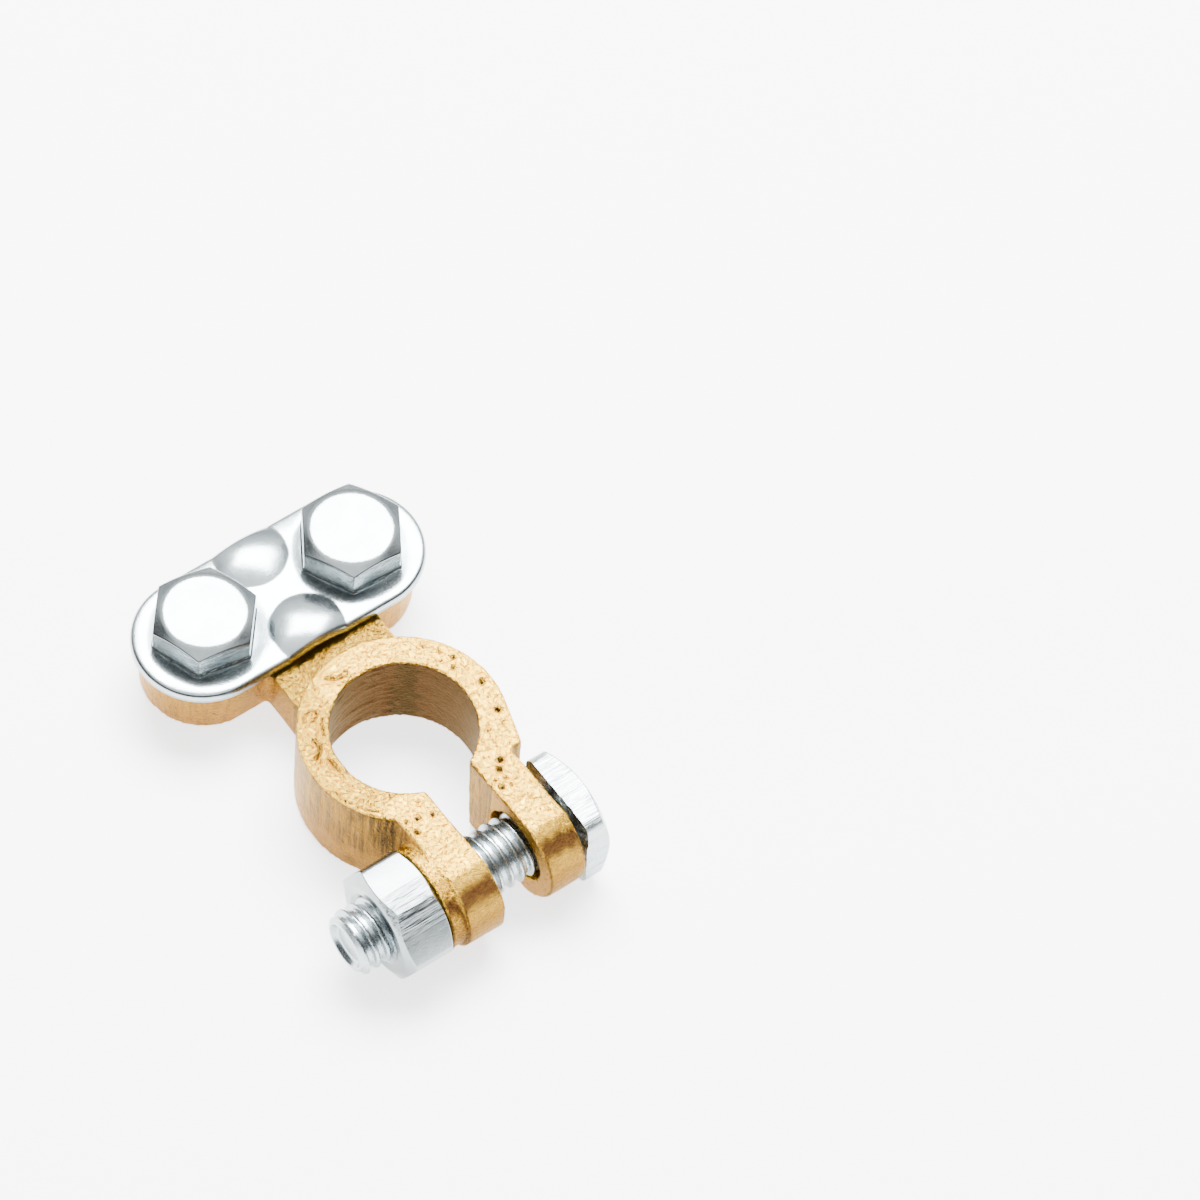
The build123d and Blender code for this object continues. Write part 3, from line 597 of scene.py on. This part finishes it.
class CLAMP_OT_strap(bpy.types.Operator):
    """The cable strap: a pressed plate with a rolled rim, two bulges and two holes"""
    bl_idname = "clamp.strap"
    bl_label = "Cable strap"

    def execute(self, context):
        colours = context.scene.clamp_colours
        centre = np.array([-0.3, 24.35])
        half, radius, thick = 10.6, 8.2, 1.2
        # Outline: arc angles round both ends and steps along the straight sides, as a centre line point and a direction
        arc = np.linspace(-np.pi / 2, np.pi / 2, 90)
        run = np.linspace(-half, half, 110)[1:-1]
        spine_x = np.concatenate([np.full(90, half), run[::-1], np.full(90, -half), run])
        direction = np.concatenate([arc, np.full(108, np.pi / 2), arc + np.pi, np.full(108, -np.pi / 2)])
        # Section from the middle of the top round the rim to the middle of the underside: (distance from the spine, height)
        section = round_path([(0.0, 0.0), (radius, 0.0), (radius, -thick), (0.0, -thick)], (0.7, 0.3), 0.2)
        reach, height = section[:, 0], section[:, 1]
        # The press rolls the rim down by 0.3 mm over its outer 3 mm, as the square of the way out
        height = height - 0.3 * np.clip((reach - radius + 3.0) / 3.0, 0, 1) ** 2 * (height > -0.6 * thick)
        x = spine_x[None, :] + reach[:, None] * np.cos(direction)[None, :]
        y = reach[:, None] * np.sin(direction)[None, :]
        lift = np.zeros_like(x)
        foot, rise = 4.4, 0.95
        for side in (-5.8, 5.8):
            way = np.clip(np.hypot(x, y - side) / foot, 0, 1)
            lift += rise * (1 - way ** 2)
        # Tightening has dished the plate: away from the screws it stands 0.4 mm higher
        from_screw = np.minimum(np.hypot(x + centre[0] - SCREW_X, y), np.hypot(x + centre[0] + SCREW_X, y))
        lift += 0.4 * smooth_step(5.2, 7.8, from_screw) * (height > -0.6 * thick)[:, None]
        points = np.stack([centre[0] + x, centre[1] + y, STRAP_TOP + height[:, None] + lift], axis=-1)
        rows, cols = x.shape
        faces = [f[::-1] for f in grid_faces(rows, cols, False, 0)]
        mesh = bpy.data.meshes.new("strap")
        mesh.from_pydata((points.reshape(-1, 3) * MM).tolist(), [], faces)
        strap = bpy.data.objects.new("strap", mesh)
        context.scene.collection.objects.link(strap)
        weld = strap.modifiers.new("spine", "WELD")
        weld.merge_threshold = 1e-6
        cutters = []
        for x0 in (-SCREW_X, SCREW_X):
            ring = np.linspace(0, 2 * np.pi, 72, endpoint=False)
            along = np.repeat(np.array([[-1.0], [4.0]]), 72, axis=1)
            axes = (np.array([centre[0] + x0, centre[1], STRAP_TOP - 2.5]), np.array([1.0, 0, 0]), np.array([0, 1.0, 0]), np.array([0, 0, 1.0]))
            pts, fcs = turned(along, np.full_like(along, 3.75), ring, axes, False)
            cut_mesh = bpy.data.meshes.new("hole")
            cut_mesh.from_pydata((pts * MM).tolist(), [], fcs)
            cutter = bpy.data.objects.new("hole", cut_mesh)
            context.scene.collection.objects.link(cutter)
            hole = strap.modifiers.new("hole", "BOOLEAN")
            hole.operation, hole.solver, hole.object = "DIFFERENCE", "EXACT", cutter
            cutters.append(cutter)
        made = bpy.data.meshes.new_from_object(strap.evaluated_get(context.evaluated_depsgraph_get()))
        strap.modifiers.clear()
        strap.data = made
        for cutter in cutters:
            bpy.data.objects.remove(cutter)
        mark(made, marks=np.zeros(len(made.vertices)))
        made.materials.clear()
        made.materials.append(zinc_plate("zinc-plated sheet, strap", colours, (0, 0, math.radians(60)), 0.17))
        made.shade_smooth()
        made.set_sharp_from_angle(angle=math.radians(50))
        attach(strap, "strap")
        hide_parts("cable_strap")
        return {"FINISHED"}


class CLAMP_OT_stage(bpy.types.Operator):
    """The floor, the soft lights and the camera"""
    bl_idname = "clamp.stage"
    bl_label = "Floor, lights and camera"

    def execute(self, context):
        colours = context.scene.clamp_colours
        ground = min(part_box(node)[0][2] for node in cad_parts)
        side = 6.0
        mesh = bpy.data.meshes.new("floor")
        mesh.from_pydata([(-side, -side, ground), (side, -side, ground), (side, side, ground), (-side, side, ground)], [], [(0, 1, 2, 3)])
        floor = bpy.data.objects.new("floor", mesh)
        context.scene.collection.objects.link(floor)
        material, tree, shader, place = new_material("white acrylic light table", metallic=0.0)
        shader.inputs["Base Color"].default_value = colours.floor
        shader.inputs["Roughness"].default_value = 0.9
        shader.inputs["Emission Color"].default_value = (1.0, 1.0, 1.0, 1.0)
        # The table glows evenly under the clamp and fades beyond a quarter of a metre
        far = add(tree, "ShaderNodeVectorMath", {0: place}, operation="LENGTH").outputs["Value"]
        glow = add(tree, "ShaderNodeMapRange", {"Value": far, "From Min": 0.16, "From Max": 0.45, "To Min": 2.6, "To Max": 0.4}, interpolation_type="SMOOTHSTEP").outputs["Result"]
        tree.links.new(glow, shader.inputs["Emission Strength"])
        mesh.materials.append(material)

        # Room: grey walls and a bright ceiling; behind the camera a white strip at the horizon, then dark up to 45 degrees, so that slanting faces have something dark to mirror
        world = bpy.data.worlds.new("studio")
        world.use_nodes = True
        tree = world.node_tree
        tree.nodes.clear()
        towards = add(tree, "ShaderNodeTexCoord").outputs["Generated"]
        height = add(tree, "ShaderNodeSeparateXYZ", {"Vector": towards}).outputs["Z"]
        facing = add(tree, "ShaderNodeVectorMath", {0: towards, 1: (0.53, 0.60, 0.60)}, operation="DOT_PRODUCT").outputs["Value"]
        near = add(tree, "ShaderNodeMapRange", {"Value": facing, "From Min": 0.80, "From Max": 0.50}, interpolation_type="SMOOTHSTEP").outputs["Result"]
        rise = add(tree, "ShaderNodeMapRange", {"Value": height, "From Min": 0.25, "From Max": 0.45}, interpolation_type="SMOOTHSTEP").outputs["Result"]
        beyond = add(tree, "ShaderNodeMix", {"Factor": rise, "A": (1.1, 1.1, 1.1, 1.0), "B": (2.0, 2.0, 2.0, 1.0)}, data_type="RGBA").outputs["Result"]
        strip = add(tree, "ShaderNodeMapRange", {"Value": height, "From Min": 0.08, "From Max": 0.15}, interpolation_type="SMOOTHSTEP").outputs["Result"]
        low = add(tree, "ShaderNodeMix", {"Factor": strip, "A": (2.4, 2.4, 2.4, 1.0), "B": (0.18, 0.18, 0.18, 1.0)}, data_type="RGBA").outputs["Result"]
        above = add(tree, "ShaderNodeMapRange", {"Value": height, "From Min": 0.70, "From Max": 0.95}, interpolation_type="SMOOTHSTEP").outputs["Result"]
        behind = add(tree, "ShaderNodeMix", {"Factor": above, "A": low, "B": (2.9, 2.88, 2.8, 1.0)}, data_type="RGBA").outputs["Result"]
        glow = add(tree, "ShaderNodeMix", {"Factor": near, "A": beyond, "B": behind}, data_type="RGBA").outputs["Result"]
        background = add(tree, "ShaderNodeBackground", {"Color": glow, "Strength": 1.0})
        add(tree, "ShaderNodeOutputWorld", {"Surface": background.outputs["Background"]})
        context.scene.world = world

        # A soft box where level faces mirror it into the camera
        light = bpy.data.lights.new("soft box", "AREA")
        light.shape, light.size, light.size_y, light.energy = "RECTANGLE", 0.58, 0.42, 36.0
        lamp = bpy.data.objects.new("soft box", light)
        lamp.location = (0.220, 0.251, 0.670)
        lamp.rotation_euler = (-lamp.location).to_track_quat("-Z", "Y").to_euler()
        context.scene.collection.objects.link(lamp)

        # Camera: direction, roll and distance of the view, in degrees and millimetres
        az, el, roll = (math.radians(a) for a in (-41.151, 58.275, 6.32))
        right = Vector((math.cos(az), math.sin(az), 0))
        back = Vector((math.sin(az) * math.cos(el), -math.cos(az) * math.cos(el), math.sin(el)))
        up = back.cross(right)
        right, up = right * math.cos(roll) + up * math.sin(roll), up * math.cos(roll) - right * math.sin(roll)
        aim = Vector((0, 0, 12.89))
        offset = Vector((-22.08, -14.35, -801.0))
        place = aim - right * offset.x - up * offset.y - back * offset.z
        camera = bpy.data.cameras.new("camera")
        camera.sensor_width = 36.0
        camera.lens = 36.0 * 7113.07 / 1200
        camera.clip_start, camera.clip_end = 0.01, 20.0
        viewer = bpy.data.objects.new("camera", camera)
        viewer.matrix_world = Matrix.Translation(place * MM) @ Matrix((right, up, back)).transposed().to_4x4()
        context.scene.collection.objects.link(viewer)
        context.scene.camera = viewer
        return {"FINISHED"}


class CLAMP_PT_panel(bpy.types.Panel):
    """Sizes, colours and pieces of the clamp"""
    bl_idname = "CLAMP_PT_panel"
    bl_label = "Battery terminal clamp"
    bl_space_type = "VIEW_3D"
    bl_region_type = "UI"
    bl_category = "Clamp"

    def draw(self, context):
        for group in (context.scene.clamp_sizes, context.scene.clamp_colours):
            for key in group.__annotations__:
                self.layout.prop(group, key)
        for operator in OPERATORS:
            self.layout.operator(operator.bl_idname)


OPERATORS = (CLAMP_OT_stage, CLAMP_OT_casting, CLAMP_OT_bolt, CLAMP_OT_nut, CLAMP_OT_strap, CLAMP_OT_screws)
CLASSES = (ClampColours, ClampSizes, *OPERATORS, CLAMP_PT_panel)


def register():
    for cls in CLASSES:
        bpy.utils.register_class(cls)
    bpy.types.Scene.clamp_colours = PointerProperty(type=ClampColours)
    bpy.types.Scene.clamp_sizes = PointerProperty(type=ClampSizes)


def unregister():
    del bpy.types.Scene.clamp_sizes
    del bpy.types.Scene.clamp_colours
    for cls in reversed(CLASSES):
        bpy.utils.unregister_class(cls)


def main():
    register()
    bpy.ops.clamp.stage()
    bpy.ops.clamp.casting()
    bpy.ops.clamp.bolt()
    bpy.ops.clamp.nut()
    bpy.ops.clamp.strap()
    bpy.ops.clamp.screws()


if __name__ == "__main__":
    main()
